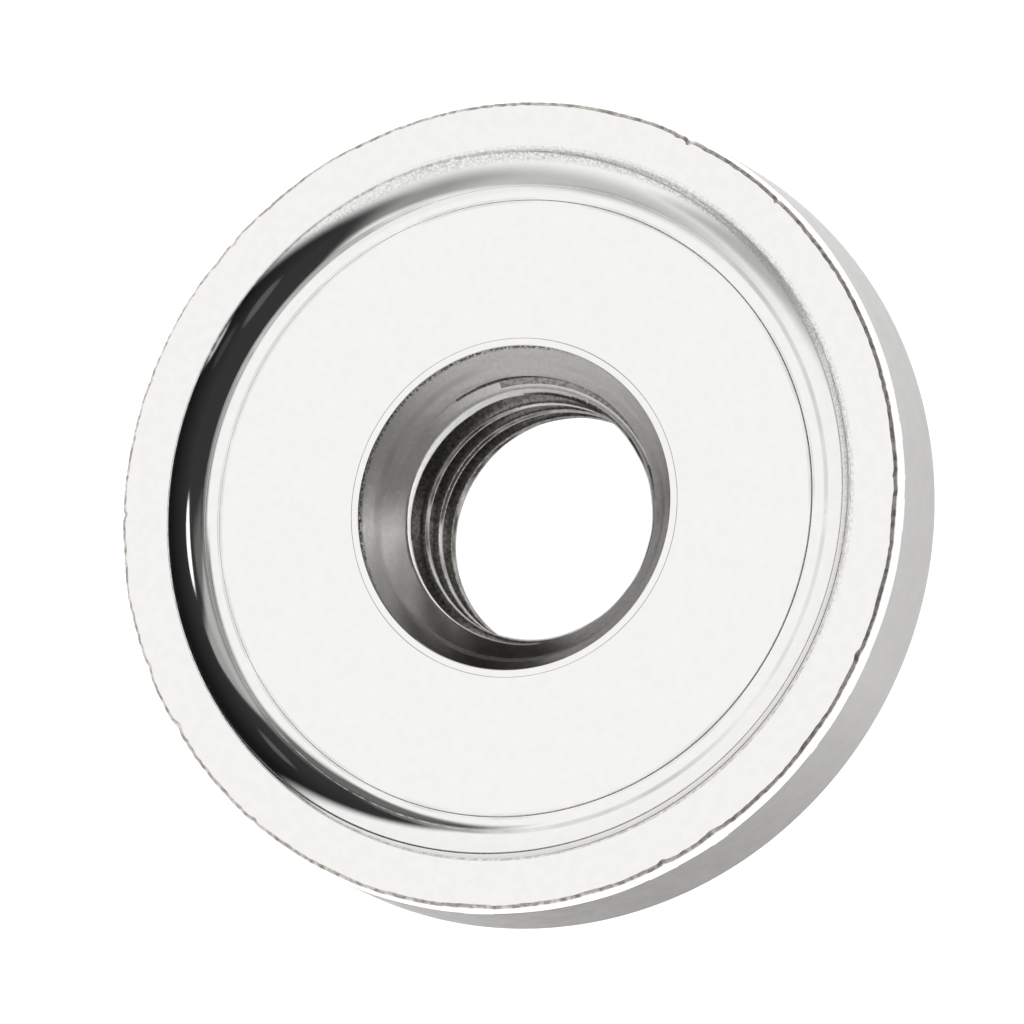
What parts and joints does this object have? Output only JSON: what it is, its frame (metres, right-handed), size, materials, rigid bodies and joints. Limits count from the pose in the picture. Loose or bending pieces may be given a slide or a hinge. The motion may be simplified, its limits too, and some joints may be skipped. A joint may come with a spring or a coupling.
{
  "type": "magnet fishing magnet",
  "caption": "Round nickel-plated pot magnet with a ring magnet recessed in a steel cup and a threaded bush through its centre for a rope eyebolt.",
  "frame": {"origin": "on the magnet's axis, at the flat end of the bush's neck, which the part stands on", "axes": "+Z along the axis, out of the pulling face; X and Y across the disc"},
  "size_m": [0.035, 0.035, 0.009],
  "materials": {
    "nickel_cup": "bright nickel plate over turned steel, lightly knocked along its edges",
    "nickel_magnet": "bright nickel plate over sintered neodymium magnet, smooth",
    "nickel_spacer": "polished bright nickel plate over brass",
    "nickel_bush": "satin nickel plate over turned steel",
    "adhesive": "cured clear amber epoxy"
  },
  "bodies": {
    "root": {"steel_cup": "nickel_cup", "ring_magnet": "nickel_magnet", "spacer_ring": "nickel_spacer", "threaded_bush": "nickel_bush", "magnet_adhesive": "adhesive", "bush_adhesive": "adhesive"}
  },
  "joints": []
}
